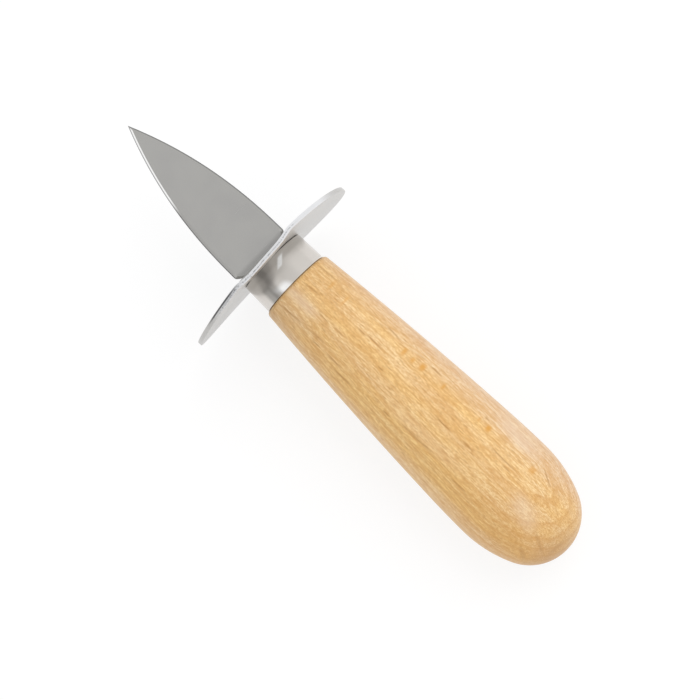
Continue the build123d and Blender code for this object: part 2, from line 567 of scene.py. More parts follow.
@dataclass(frozen=True)
class BeechFinish:
    """Turned beech under a thin satin varnish."""

    pale: Triple = (0.98, 0.735, 0.405)
    tone: Grain = Grain((0.98, 0.675, 0.29), 1.0, (0.3, 0.7), (0.02, 0.25, 0.25), (3.0, 0.0, 7.0), 2.0, 0.5)
    streak: Grain = Grain(AMBER, 0.35, (0.48, 0.7), (0.05, 1.1, 1.1), (5.0, 3.0, 0.0), 3.0, 0.6)
    fibre: Grain = Grain(AMBER, 0.55, (0.42, 0.62), (0.26, 2.6, 2.6), (0.0, 0.0, 0.0), 3.0, 0.65)
    hair: Grain = Grain(PORE, 0.42, (0.45, 0.68), (0.8, 4.6, 4.6), (9.0, 2.0, 0.0), 2.0, 0.6)
    speck: Grain = Grain(AMBER, 0.34, (0.42, 0.58), (1.6, 4.0, 4.0), (0.0, 7.0, 3.0), 1.0, 0.5)
    dash: Dashes = Dashes(PORE, 0.5, (0.3, 1.8, 1.8), (0.0, 0.0, 0.0), (0.6, 0.7))
    broad_dash: Dashes = Dashes(AMBER, 0.4, (0.14, 1.0, 1.0), (0.0, 4.0, 9.0), (0.5, 0.6))
    honey: WoodZone = WoodZone((0.98, 0.67, 0.2), 0.35, ((-15.0, -30.0),), ((5.5, 8.5), (12.5, 10.0)))
    # Paler towards -y: partly a sapwood tone, partly a painted sheen of the varnish on the side towards the
    # lamp.
    sapwood_and_sheen: WoodZone = WoodZone((0.9, 0.73, 0.56), 0.62, (), ((-7.0, -13.0),))
    warm_butt: WoodZone = WoodZone(AMBER, 0.36, ((-60.0, -92.0),), ((-2.0, 6.0),))
    end_grain: WoodZone = WoodZone((0.48, 0.24, 0.075), 0.45, ((-90.0, -98.5),), ((-12.0, 4.0),))
    ring_spacing: float = 2.3
    ring_side: float = -0.43
    ring_bend: float = 1.6
    ring_bend_scale: Triple = (0.015, 0.09, 0.09)
    ring_bend_shift: Triple = (0.0, 5.0, 1.0)
    latewood_start: Pair = (0.35, 0.97)
    latewood_end: Pair = (1.0, 0.97)
    latewood_share: float = 0.28
    latewood_butt: Pair = (-68.0, -82.0)
    latewood_butt_share: float = 0.12
    marks: tuple[MarkSet, ...] = ()
    upper_side: Pair = (0.0, 2.0)
    relief: float = 0.06 * MM
    relief_strength: float = 0.5
    fibre_height: float = 0.5
    hair_height: float = 0.3
    dash_depth: float = 0.6
    roughness: float = 0.42
    fibre_roughness: float = 0.2
    varnish: float = 0.35
    varnish_roughness: float = 0.28
    gloss: float = 0.4

    def latewood(self, bench: Bench, spot: Signal) -> Signal:
        """How dark the growth rings are.

        Rings are planes whose number is the distance along their normal divided by the spacing,
        bent by slow noise. Each darkens slowly and ends sharply.

        Args:
            bench: The material's bench.
            spot: The place on the knife in millimetres.

        Returns:
            The mask.
        """
        x, y, z = bench.split(spot)
        bend = bench.noise(bench.stretch(spot, self.ring_bend_scale, self.ring_bend_shift))
        ring_up = math.sqrt(1 - self.ring_side ** 2)
        ring = (y * self.ring_side + z * ring_up) / self.ring_spacing + bend * self.ring_bend
        late = ring.fraction()
        share = self.latewood_share + x.step(*self.latewood_butt) * self.latewood_butt_share
        return late.step(*self.latewood_start) * late.step(*self.latewood_end) * share

    def build(self, place: KnifeFrame) -> bpy.types.Material:
        """Make the material. It is solid, so the grain runs through it along the handle.

        Args:
            place: The knife's frame.

        Returns:
            The material.
        """
        bench = Bench.for_material("turned_beech")
        spot = bench.knife_place(place)
        x, y, z = bench.split(spot)
        colour = self.tone.tint(bench, self.tone.noise(bench, spot), self.pale)
        colour = self.honey.tint(bench, x, y, colour)
        colour = self.sapwood_and_sheen.tint(bench, x, y, colour)
        colour = bench.mix(self.latewood(bench, spot), colour, AMBER)
        fibre = self.fibre.noise(bench, spot)
        hair = self.hair.noise(bench, spot)
        colour = self.streak.tint(bench, self.streak.noise(bench, spot), colour)
        colour = self.fibre.tint(bench, fibre, colour)
        colour = self.hair.tint(bench, hair, colour)
        colour = self.speck.tint(bench, self.speck.noise(bench, spot), colour)
        dash = self.dash.mask(bench, spot)
        colour = bench.mix(dash * self.dash.share, colour, self.dash.colour)
        broad = self.broad_dash.mask(bench, spot)
        colour = bench.mix(broad * self.broad_dash.share, colour, self.broad_dash.colour)
        colour = self.warm_butt.tint(bench, x, y, colour)
        seen = x + z * VIEW_SLOPE
        top = z.step(*self.upper_side)
        # Marks on the upper side: painted sheens of the varnish, dark grain lines with one painted shade
        # band, and ray flecks.
        for kind in self.marks:
            fray = (fibre - NOISE_MIDDLE) * kind.fray
            for mark in kind.marks:
                colour = bench.mix(mark.mask(seen, y, fray) * top, colour, kind.colour)
        colour = self.end_grain.tint(bench, x, y, colour)
        height = fibre * self.fibre_height + hair * self.hair_height - dash * self.dash_depth
        return bench.surface(
            {
                "Base Color": colour,
                "Roughness": self.roughness + fibre * self.fibre_roughness,
                "Normal": bench.bump(height, self.relief, self.relief_strength),
                "Coat Weight": self.varnish,
                "Coat Roughness": self.varnish_roughness,
                "Specular IOR Level": self.gloss,
            }
        )


@dataclass(frozen=True)
class PaintedLightPatch:
    """A patch of painted light on the upper side of the metal, lighter for a painted highlight and darker
    for a painted dark reflection, between two slanting lines.

    The lines run through the places where y - lean * x is low and high. The patch lies between
    them, from back to front along x.
    """

    colour: Triple
    share: float
    lean: float
    low: float
    high: float
    back: float
    front: float
    soft: float = 0.5
    upper_side: Pair = (0.0, 1.0)

    def mask(self, x: Signal, y: Signal, z: Signal) -> Signal:
        """A mask that is 1 inside the patch and fades out over twice the softness.

        Args:
            x: The place along the knife.
            y: The place across the knife.
            z: The height above the knife's axis.

        Returns:
            The mask.
        """
        seen = x + z * VIEW_SLOPE
        slant = y - seen * self.lean
        sides = slant.step(self.low - self.soft, self.low + self.soft)
        sides = sides * slant.step(self.high + self.soft, self.high - self.soft)
        ends = seen.step(self.back - self.soft, self.back + self.soft)
        ends = ends * seen.step(self.front + self.soft, self.front - self.soft)
        return sides * ends * z.step(*self.upper_side)


@dataclass(frozen=True)
class SteelFinish:
    """Ground, drawn or stamped steel: fine working lines, a slight mottle and any painted highlights and
    painted reflections.

    A noise is given by its detail and roughness.
    """

    name: str
    colour: Triple
    roughness: float
    line_scale: Triple
    line_strength: float
    mottle: float = 0.04
    mottle_colour: Triple = (0.2, 0.2, 0.2)
    stain: Triple = (0.5, 0.45, 0.4)
    stain_share: float = 0.0
    stain_rise: Pair = (0.35, 0.7)
    cloud_scale: Triple = (0.12, 0.12, 0.12)
    cloud_detail: float = 3.0
    cloud_roughness: float = 0.08
    line_noise: Pair = (3.0, 0.6)
    line_roughness: float = 0.12
    line_height: float = 0.01 * MM
    painted_patches: tuple[PaintedLightPatch, ...] = ()

    def toned(self, bench: Bench, colour: Signal, spot: Signal) -> Signal:
        """The colour with the finish's painted highlights and painted reflections.

        Args:
            bench: The material's bench.
            colour: The colour so far.
            spot: The place on the knife in millimetres.

        Returns:
            The colour with what this adds.
        """
        x, y, z = bench.split(spot)
        for patch in self.painted_patches:
            colour = bench.mix(patch.mask(x, y, z) * patch.share, colour, patch.colour)
        return colour

    def build(self, place: KnifeFrame) -> bpy.types.Material:
        """Make the material.

        Args:
            place: The knife's frame.

        Returns:
            The material.
        """
        bench = Bench.for_material(self.name)
        spot = bench.knife_place(place)
        cloud = bench.noise(bench.stretch(spot, self.cloud_scale), self.cloud_detail)
        lines = bench.noise(bench.stretch(spot, self.line_scale), *self.line_noise)
        colour = bench.mix(cloud.step(*self.stain_rise) * self.stain_share, self.colour, self.stain)
        colour = bench.mix((lines - NOISE_MIDDLE).absolute() * self.mottle, colour, self.mottle_colour)
        rough = (lines - NOISE_MIDDLE) * self.line_roughness + (cloud - NOISE_MIDDLE) * self.cloud_roughness
        return bench.surface(
            {
                "Base Color": self.toned(bench, colour, spot),
                "Metallic": 1.0,
                "Roughness": rough + self.roughness,
                "Normal": bench.bump(lines, self.line_height, self.line_strength),
            }
        )


@dataclass(frozen=True)
class LancetForm:
    """The blade's outline, which its piece and its finish share."""

    widest: float = 12.9 * MM
    tip: float = 61.28 * MM
    half_width: float = 9.05 * MM
    fullness: float = 2.2
    bevel: float = 0.95 * MM


@dataclass(frozen=True)
class LancetFinish(SteelFinish):
    """Ground steel whose bevels differ in tone from the flat side, with a painted glint on one bevel,
    painted shade lines along the edges and painted shade towards the heel.
    """

    form: LancetForm = LancetForm()
    soft: float = 0.1
    bevel_start: float = 1.0
    edge_shade_line: float = 0.28
    edge_shade_share: float = 0.7
    glint: float = 0.72
    glint_rise: Pair = (34.0, 40.0)
    heel_shade: Pair = (13.4, 11.9)
    heel_share: float = 0.3
    dark: Triple = (0.12, 0.12, 0.12)
    bright: Triple = (1.0, 1.0, 0.99)
    dull: Triple = (0.42, 0.415, 0.4)

    def toned(self, bench: Bench, colour: Signal, spot: Signal) -> Signal:
        """Tone the bevels, and paint the glint, the edge shade and the heel shade, by the distance from the
        edge, which is the half width less |y|.

        Args:
            bench: The material's bench.
            colour: The colour so far.
            spot: The place on the knife in millimetres.

        Returns:
            The colour with what this adds.
        """
        x, y, _ = bench.split(spot)
        widest, bevel = self.form.widest / MM, self.form.bevel / MM
        share = ((x - widest) / (self.form.tip / MM - widest)).largest(0.0)
        side = y - TANG_ASIDE / MM
        inside = (1.0 - share ** self.form.fullness) * (self.form.half_width / MM) - side.absolute()
        ground = inside.step(bevel + self.soft / 2, bevel - self.soft / 2)
        colour = bench.mix(ground * x.step(widest, widest + self.bevel_start), colour, self.dull)
        # Painted glint: a painted highlight near the edge on the +y side, from the glint's rise to the tip.
        glint = inside.step(self.glint + self.soft, self.glint - self.soft)
        glint = glint * side.step(-self.soft, self.soft) * x.step(*self.glint_rise)
        colour = bench.mix(glint, colour, self.bright)
        # Painted shade: a dark line along both edges, and darker towards the heel.
        edge = inside.step(self.edge_shade_line + self.soft, self.edge_shade_line - self.soft)
        colour = bench.mix(edge * self.edge_shade_share, colour, self.dark)
        colour = bench.mix(x.step(*self.heel_shade) * self.heel_share, colour, self.dark)
        return super().toned(bench, colour, spot)


@dataclass(frozen=True)
class GuardForm:
    """How the guard is bent and how crooked it sits, which its piece and its finish share.

    The lean and the nod are slopes, and the twist is a slope for each metre. Guard.build() says
    how they shape the sheet.
    """

    radius: float = 27.7 * MM
    front: float = 10.54 * MM
    bend: float = 220.0 * MM
    lean: float = -0.026
    twist: float = -1.0
    nod: float = -0.03
    set_back: float = 0.2 * MM
    dip: float = 0.95 * MM
    dip_reach: float = 10.5 * MM


@dataclass(frozen=True)
class GuardFinish(SteelFinish):
    """Tumbled sheet with a bright sheared rim, torn darker along one side."""

    form: GuardForm = GuardForm()
    dip_rise: Pair = (-1.0, 1.0)
    rim: Triple = (0.84, 0.845, 0.86)
    rim_width: Pair = (0.4, 0.15)
    rim_sides: tuple[Pair, Pair] = ((22.0, 12.0), (-26.0, -19.0))
    shade: Triple = (0.4, 0.395, 0.385)
    shade_side: Pair = (15.0, 21.0)
    shade_share: float = 0.33
    torn: Triple = (0.04, 0.04, 0.045)
    grit_scale: Triple = (3.5, 1.4, 1.4)
    grit_noise: Pair = (2.0, 0.7)
    line_place: float = 0.65
    line_width: Pair = (0.22, 0.05)
    line_grit: Pair = (0.35, 0.6)
    line_reach: Pair = (14.0, 9.0)
    line_share: float = 0.5
    torn_place: float = 0.25
    torn_width: Pair = (0.32, 0.12)
    torn_sides: tuple[Pair, Pair] = ((7.0, 14.0), (23.0, 19.0))
    torn_share: float = 0.85
    speck_grit: Pair = (0.58, 0.64)
    speck_sides: tuple[Pair, Pair] = ((-4.0, 4.0), (24.0, 18.0))
    speck_share: float = 0.5

    def depth(self, x: Signal, side: Signal, z: Signal) -> Signal:
        """The depth in the sheet, counted back from its front side, by the formula of Guard.build().

        Args:
            x: The place along the knife.
            side: The place across the knife from the guard's middle.
            z: The height above the knife's axis.

        Returns:
            The depth in millimetres.
        """
        form = self.form
        bent = side * side / (2 * form.bend / MM)
        tilt = (z * (form.twist * MM) + form.lean) * side + z * form.nod
        reach = side / (form.dip_reach / MM)
        band = (1.0 - reach * reach * reach * reach).largest(0.0) * z.step(*self.dip_rise)
        return tilt - bent + (form.front - form.set_back) / MM - band * band * (form.dip / MM) - x

    def toned(self, bench: Bench, colour: Signal, spot: Signal) -> Signal:
        """Tone the rim by the depth in the sheet.

        Args:
            bench: The material's bench.
            colour: The colour so far.
            spot: The place on the knife in millimetres.

        Returns:
            The colour with what this adds.
        """
        x, y, z = bench.split(spot)
        side = y - TANG_ASIDE / MM
        depth = self.depth(x, side, z)
        grit = bench.noise(bench.stretch(spot, self.grit_scale), *self.grit_noise)
        radius = self.form.radius / MM
        rim = ((side * side + z * z) ** 0.5).step(radius - self.rim_width[0], radius - self.rim_width[1])

        def between(sides: tuple[Pair, Pair]) -> Signal:
            """1 between two smooth edges across the guard."""
            return side.step(*sides[0]) * side.step(*sides[1])

        colour = bench.mix(side.step(*self.shade_side) * self.shade_share, colour, self.shade)
        colour = bench.mix(rim * between(self.rim_sides), colour, self.rim)
        line = (depth - self.line_place).absolute().step(*self.line_width) * grit.step(*self.line_grit)
        line = line * side.absolute().step(*self.line_reach)
        colour = bench.mix(rim * line * self.line_share, colour, self.torn)
        torn = (depth - self.torn_place).absolute().step(*self.torn_width) * between(self.torn_sides)
        specks = grit.step(*self.speck_grit) * between(self.speck_sides)
        spoilt = (torn * self.torn_share).largest(specks * self.speck_share)
        return bench.mix(rim * spoilt, colour, self.torn)


@dataclass(frozen=True)
class ResinFinish:
    """Cured resin, cloudy and amber."""

    colour: Triple = (0.5, 0.36, 0.15)
    cloud_colour: Triple = (0.62, 0.5, 0.28)
    cloud_scale: Triple = (0.5, 0.5, 0.5)
    cloud_rise: Pair = (0.35, 0.65)
    cloud_detail: float = 3.0
    roughness: float = 0.35
    cloud_roughness: float = 0.1

    def build(self, place: KnifeFrame) -> bpy.types.Material:
        """Make the material.

        Args:
            place: The knife's frame.

        Returns:
            The material.
        """
        bench = Bench.for_material("cured_resin")
        cloud = bench.noise(bench.stretch(bench.knife_place(place), self.cloud_scale), self.cloud_detail)
        colour = bench.mix(cloud.step(*self.cloud_rise), self.colour, self.cloud_colour)
        rough = self.roughness + cloud * self.cloud_roughness
        return bench.surface({"Base Color": colour, "Roughness": rough})


# Pieces


@dataclass
class Handle:
    """The turned handle, with its tenon and the bore for the tang."""

    length: float = 98.9 * MM
    shoulder_radius: float = 10.1 * MM
    shoulder_length: float = 1.1 * MM
    shoulder_height: float = 0.75 * MM
    belly_radius: float = 15.52 * MM
    taper_arc: float = 1300.0 * MM
    belly_front_arc: float = 250.0 * MM
    belly_back_arc: float = 36.0 * MM
    butt_arc: float = 13.6 * MM
    tenon_radius: float = 9.22 * MM
    tenon_length: float = 8.1 * MM
    bore_radius: float = 3.7 * MM
    bore_end: float = -55.6 * MM
    bore_point: float = 2.2 * MM
    columns: int = 256
    shoulder_points: int = 14
    sharp_degrees: float = 40.0
    finish: BeechFinish = field(default_factory=BeechFinish)

    def outline(self) -> np.ndarray:
        """The half outline from the front shoulder to the butt, as arcs that run into each other.

        Returns:
            Rows of (along, out).
        """
        butt_x = self.butt_arc - self.length
        back_drop = self.belly_back_arc - self.belly_radius
        belly_x = butt_x + math.sqrt((self.belly_back_arc - self.butt_arc) ** 2 - back_drop ** 2)
        front_drop = self.belly_front_arc - self.belly_radius
        top = (-self.shoulder_length, self.shoulder_radius + self.shoulder_height)
        difference = self.taper_arc - self.belly_front_arc
        ahead, above = top[0] - belly_x, top[1] + front_drop
        reach = math.hypot(ahead, above)
        projection = (self.taper_arc ** 2 - difference ** 2 - reach ** 2) / (2 * difference)
        meeting = math.atan2(ahead, above) - math.acos(projection / reach)
        center = (belly_x - difference * math.sin(meeting), -front_drop - difference * math.cos(meeting))
        start = math.atan2(top[0] - center[0], top[1] - center[1])
        turn = math.atan2(belly_x - butt_x, back_drop)
        return join(
            self._shoulder(top),
            arc(center, self.taper_arc, start, meeting, count=120),
            arc((belly_x, -front_drop), self.belly_front_arc, meeting, 0.0, count=24),
            arc((belly_x, -back_drop), self.belly_back_arc, 0.0, -turn, count=40),
            arc((butt_x, 0.0), self.butt_arc, -turn, -math.pi / 2, count=56),
        )

    def _shoulder(self, top: Pair) -> np.ndarray:
        """A quarter of an ellipse from the front face's edge to the taper.

        Args:
            top: Where the ellipse ends.

        Returns:
            Rows of (along, out).
        """
        share = np.linspace(0.0, 1.0, self.shoulder_points)
        along = top[0] * (1 - np.cos(share * math.pi / 2))
        out = self.shoulder_radius + (top[1] - self.shoulder_radius) * np.sin(share * math.pi / 2)
        return np.stack((along, out), axis=-1)

    def build(self, place: KnifeFrame) -> bpy.types.Object:
        """Carry the whole profile round, from the bore's end over the tenon to the butt.

        The bore's middle lies to one side, so each row's middle moves over on the tenon's flat end.

        Args:
            place: The frame that the points are turned into.

        Returns:
            The new piece.
        """
        point_front = (self.bore_end + self.bore_point, self.bore_radius)
        bore = join(
            run((self.bore_end, 0.0), point_front, count=4),
            run(point_front, (self.tenon_length, self.bore_radius), count=24),
        )
        tenon_edge = (self.tenon_length, self.tenon_radius)
        tenon_face = run((self.tenon_length, self.bore_radius), tenon_edge, count=6)
        front = join(
            run(tenon_edge, (0.0, self.tenon_radius), count=8),
            run((0.0, self.tenon_radius), (0.0, self.shoulder_radius), count=4),
        )
        profile = join(bore, tenon_face, front, self.outline())
        aside = np.zeros(profile.shape[0])
        aside[: bore.shape[0]] = TANG_ASIDE
        face = slice(bore.shape[0] - 1, bore.shape[0] + tenon_face.shape[0] - 1)
        aside[face] = np.linspace(TANG_ASIDE, 0.0, tenon_face.shape[0])
        surface = Surface(turned(profile, self.columns, aside), start=End.POLE, finish=End.POLE)
        return make_piece("turned_handle", [surface], place, self.finish.build(place), self.sharp_degrees)


@dataclass
class Ferrule:
    """The drawn cup on the handle's tenon, slotted for the tang."""

    length: float = 8.9 * MM
    gap: float = 0.1 * MM
    front_radius: float = 9.85 * MM
    back_radius: float = 10.1 * MM
    wall: float = 0.6 * MM
    front_round: float = 0.35 * MM
    lip_round: float = 0.22 * MM
    tenon_radius: float = 9.25 * MM
    columns: int = 256
    plate_rings: int = 8
    sharp_degrees: float = 35.0
    finish: SteelFinish = SteelFinish(
        "drawn_steel",
        colour=(0.67, 0.635, 0.595),
        roughness=0.2,
        line_scale=(0.6, 6.0, 6.0),
        line_strength=0.2,
        # Painted light on the upper side, in order: a painted dark reflection of the guard over the front
        # part, a painted dark reflection band, a painted dark band near the wood, a painted highlight near
        # the wood, a slanting painted highlight, and a painted highlight along the lip at the wood.
        painted_patches=(
            PaintedLightPatch((0.4, 0.37, 0.33), 0.35, 0.0, -20.0, 20.0, 7.0, 12.0),
            PaintedLightPatch((0.12, 0.11, 0.1), 0.38, -0.35, 4.1, 9.2, 4.4, 12.0, 1.0),
            PaintedLightPatch((0.3, 0.29, 0.27), 0.75, 0.0, 5.4, 7.6, -1.0, 5.0, 0.6),
            PaintedLightPatch((1.0, 1.0, 0.99), 1.0, 0.5, 0.1, 3.8, 0.2, 2.6, 1.0),
            PaintedLightPatch((1.0, 1.0, 0.99), 1.0, -1.0, 4.9, 6.6, 5.95, 8.15, 0.4),
            PaintedLightPatch((0.95, 0.94, 0.92), 0.8, 0.0, -20.0, 5.0, -1.0, 0.5, 0.2),
        ),
    )

    def build(self, place: KnifeFrame) -> bpy.types.Object:
        """Carry the cup's wall round as a closed loop, from the slot over the outside to the inside.

        Args:
            place: The frame that the points are turned into.

        Returns:
            The new piece.
        """
        front_edge = self.length - self.front_round
        front_radius = self.front_radius - self.front_round
        lip_edge = self.gap + self.lip_round
        lip_radius = self.back_radius - self.lip_round
        inside_front = self.length - self.wall
        outside = join(
            arc((front_edge, front_radius), self.front_round, math.pi / 2, 0.0, count=14),
            run((front_edge, self.front_radius), (lip_edge, self.back_radius), count=20),
            arc((lip_edge, lip_radius), self.lip_round, 0.0, -math.pi / 2, count=6),
            run((self.gap, lip_radius), (self.gap, self.tenon_radius), count=3),
            run((self.gap, self.tenon_radius), (inside_front, self.tenon_radius), count=10),
        )
        grid = turned(outside, self.columns)
        angle = ring_angles(self.columns)
        slot = slot_ring(self.columns)
        edge = np.stack((slot * np.sin(angle) + TANG_ASIDE, slot * np.cos(angle)), axis=-1)
        face = self._plate(edge, grid[0, :, 1:], self.length)
        inner = self._plate(grid[-1, :, 1:], edge, inside_front)
        surface = Surface(np.concatenate((face[:-1], grid, inner[1:])), wraps_rows=True)
        return make_piece("drawn_ferrule", [surface], place, self.finish.build(place), self.sharp_degrees)

    def _plate(self, first: np.ndarray, last: np.ndarray, x: float) -> np.ndarray:
        """A flat ring between two outlines at one place along the axis.

        Args:
            first: The first outline's (y, z).
            last: The last outline's (y, z).
            x: The place along the axis.

        Returns:
            A grid of points.
        """
        share = np.linspace(0.0, 1.0, self.plate_rings)[:, None, None]
        flat = first[None] * (1 - share) + last[None] * share
        return np.concatenate((np.full((*flat.shape[:2], 1), x), flat), axis=-1)


@dataclass
class Guard:
    """The round sheet guard, bent so that its sides lean back to the handle."""

    form: GuardForm = GuardForm()
    thickness: float = 1.6 * MM
    rim_thickness: float = 1.2 * MM
    edge: float = 0.16 * MM
    seat: float = 10.2 * MM
    free: float = 22.0 * MM
    columns: int = 360
    face_rings: int = 22
    rim_rings: int = 4
    sharp_degrees: float = 35.0
    finish: SteelFinish = GuardFinish(
        "stamped_steel",
        colour=(0.58, 0.57, 0.552),
        roughness=0.3,
        line_scale=(2.2, 2.2, 2.2),
        line_strength=0.6,
        mottle=1.2,
    )

    def rings(self) -> tuple[np.ndarray, np.ndarray]:
        """How far out the points lie and how deep in the sheet, as a closed loop over both sides.

        Returns:
            The distances from the middle, and the depths.
        """
        slot = slot_ring(self.columns)
        share = np.linspace(0.0, 1.0, self.face_rings)[:, None]
        flat = self.form.radius - self.edge
        face = slot[None] * (1 - share) + flat * share
        turn = np.linspace(0.0, math.pi / 2, self.rim_rings + 1)[1:, None]
        rim = flat + self.edge * np.sin(turn) + np.zeros_like(slot)[None]
        rim_depth = self.edge * (1 - np.cos(turn))
        back_depth = np.full_like(share, self.thickness)
        depths = (np.zeros_like(share), rim_depth, self.thickness - rim_depth[::-1], back_depth)
        return np.concatenate((face, rim, rim[::-1], face[::-1])), np.concatenate(depths)

    def build(self, place: KnifeFrame) -> bpy.types.Object:
        """Lay rings on the bent sheet.

        The seat on the ferrule is flat and a little thicker. Outside it, rising smoothly from
        nothing at its edge, a point at distance y from the middle lies bend - sqrt(bend^2 - y^2)
        behind the front. The sheet leans by lean * y + nod * z and twists by twist * y * z, and
        the middle of its upper half dips back by dip * (1 - (y / reach)^4)^2, as if pressed on by
        hand.

        Args:
            place: The frame that the points are turned into.

        Returns:
            The new piece.
        """
        form = self.form
        angle = ring_angles(self.columns)
        out, depth = self.rings()
        y, z = out * np.sin(angle), out * np.cos(angle)
        away = np.clip((out - self.seat) / (self.free - self.seat), 0.0, 1.0)
        loose = away ** 2 * (3 - 2 * away)
        drop = form.bend - np.sqrt(form.bend ** 2 - y ** 2)
        thinning = 1 - loose * (1 - self.rim_thickness / self.thickness)
        dip = form.dip * (z > 0) * np.clip(1 - (y / form.dip_reach) ** 4, 0.0, 1.0) ** 2
        tilt = (form.lean + form.twist * z) * y + form.nod * z - form.set_back - dip
        x = form.front - depth * thinning + loose * (tilt - drop)
        surface = Surface(np.stack((x, y + TANG_ASIDE, z), axis=-1), wraps_rows=True)
        return make_piece("sheet_guard", [surface], place, self.finish.build(place), self.sharp_degrees)


@dataclass
class Blade:
    """The lancet blade with ground bevels, its heel and its tang in one piece."""

    form: LancetForm = LancetForm()
    heel: float = 10.38 * MM
    heel_power: float = 0.8
    half_thickness: float = 1.0 * MM
    half_edge: float = 0.2 * MM
    seat_half_width: float = 4.6 * MM
    tang_half_width: float = 3.2 * MM
    tang_end_half_width: float = 2.0 * MM
    tang_half_thickness: float = 0.8 * MM
    tang_end: float = -51.62 * MM
    tang_point: float = 3.0 * MM
    notch_radius: float = 0.8 * MM
    notch_start: float = -9.62 * MM
    notch_pitch: float = 9.0 * MM
    notch_count: int = 4
    heel_rings: int = 12
    lancet_rings: int = 90
    flat_points: int = 9
    tang_rings: int = 420
    sharp_degrees: float = 12.0
    finish: SteelFinish = LancetFinish(
        "ground_steel",
        colour=(0.48, 0.475, 0.457),
        roughness=0.24,
        line_scale=(7.0, 0.5, 0.5),
        line_strength=0.15,
        stain=(0.44, 0.435, 0.425),
        stain_share=0.5,
    )

    def half_widths(self, x: np.ndarray) -> np.ndarray:
        """Half the width along the blade.

        Ahead of the widest place it is 1 - s^fullness of the widest, where s is the share of the
        way to the tip. Behind it, the heel's corners fall to the seat like a power of a sine.

        Args:
            x: Places along the knife.

        Returns:
            Half the width at each.
        """
        form = self.form
        share = np.clip((x - form.widest) / (form.tip - form.widest), 0.0, 1.0)
        rise = np.clip((x - self.heel) / (form.widest - self.heel), 0.0, 1.0)
        corner = (form.half_width - self.seat_half_width) * np.sin(rise * math.pi / 2) ** self.heel_power
        lancet = form.half_width * (1 - share ** form.fullness)
        return np.where(x < form.widest, self.seat_half_width + corner, lancet)

    def ended(self, x: np.ndarray, y: np.ndarray, z: np.ndarray) -> Surface:
        """A surface from rings of (y, z) at places x, closed by a pole at each end.

        Args:
            x: Places along the knife.
            y: Each ring's places across.
            z: Each ring's heights.

        Returns:
            The closed surface.
        """
        along = np.repeat(x[:, None], y.shape[1], axis=1)
        points = np.stack((along, y + TANG_ASIDE, z), axis=-1)
        poles = [np.broadcast_to((x[k], TANG_ASIDE, 0.0), points[:1].shape) for k in (0, -1)]
        return Surface(np.concatenate((poles[0], points, poles[1])), start=End.POLE, finish=End.POLE)

    def lancet(self) -> Surface:
        """The blade from heel to tip, as rings of the section's corners.

        The flat half width is what the bevel leaves, and the half thickness falls to the edge's
        where the two bevels meet near the tip.

        Returns:
            The closed surface.
        """
        form = self.form
        bend = 1 - np.cos(np.linspace(0.0, math.pi / 2, self.lancet_rings))
        heel = np.linspace(self.heel, form.widest, self.heel_rings)[:-1]
        x = np.concatenate((heel, (form.tip - (form.tip - form.widest) * bend)[::-1]))
        outer = self.half_widths(x)
        flat = np.maximum(outer - form.bevel, 0.0)
        height = self.half_edge + (self.half_thickness - self.half_edge) * (outer - flat) / form.bevel
        edge = np.minimum(self.half_edge, height)
        across = np.linspace(-1.0, 1.0, self.flat_points)
        top_y = flat[:, None] * across
        top_z = np.repeat(height[:, None], across.size, axis=1)
        side = outer[:, None]
        y = np.concatenate((top_y, side, side, top_y[:, ::-1], -side, -side), axis=1)
        low = edge[:, None]
        z = np.concatenate((top_z, low, -low, -top_z, -low, low), axis=1)
        return self.ended(x, y, z)

    def tang(self) -> Surface:
        """The tang, narrower to its pointed end, with round notches in both edges.

        Returns:
            The closed surface.
        """
        x = np.linspace(self.heel + self.half_thickness, self.tang_end, self.tang_rings)
        taper = np.clip((x - self.heel) / (self.tang_end + self.tang_point - self.heel), 0.0, 1.0)
        outer = self.tang_half_width + (self.tang_end_half_width - self.tang_half_width) * taper
        point = np.clip((x - self.tang_end) / self.tang_point, 0.0, 1.0)
        for number in range(self.notch_count):
            notch = self.notch_start - number * self.notch_pitch
            outer = outer - np.sqrt(np.maximum(self.notch_radius ** 2 - (x - notch) ** 2, 0.0))
        outer = np.minimum(outer, self.tang_end_half_width * point + (point >= 1.0) * self.tang_half_width)
        side = outer[:, None]
        thick = np.full_like(side, self.tang_half_thickness)
        y = np.concatenate((-side, side, side, -side), axis=1)
        z = np.concatenate((thick, thick, -thick, -thick), axis=1)
        return self.ended(x, y, z)

    def build(self, place: KnifeFrame) -> bpy.types.Object:
        """Make blade and tang and dress them."""
        surfaces = [self.lancet(), self.tang()]
        return make_piece("lancet_blade", surfaces, place, self.finish.build(place), self.sharp_degrees)


# The studio


def stand(
    item: bpy.types.Object, right: np.ndarray, up: np.ndarray, back: np.ndarray, spot: np.ndarray
) -> None:
    """Put a camera or a lamp, which looks against its third axis, at a place in the scene.

    Args:
        item: The camera or lamp.
        right: Its first axis.
        up: Its second axis.
        back: Its third axis.
        spot: Its place.
    """
    matrix = np.identity(4)
    matrix[:3] = np.stack((right, up, back, spot), axis=-1)
    item.matrix_world = Matrix(matrix.tolist())
    bpy.context.scene.collection.objects.link(item)


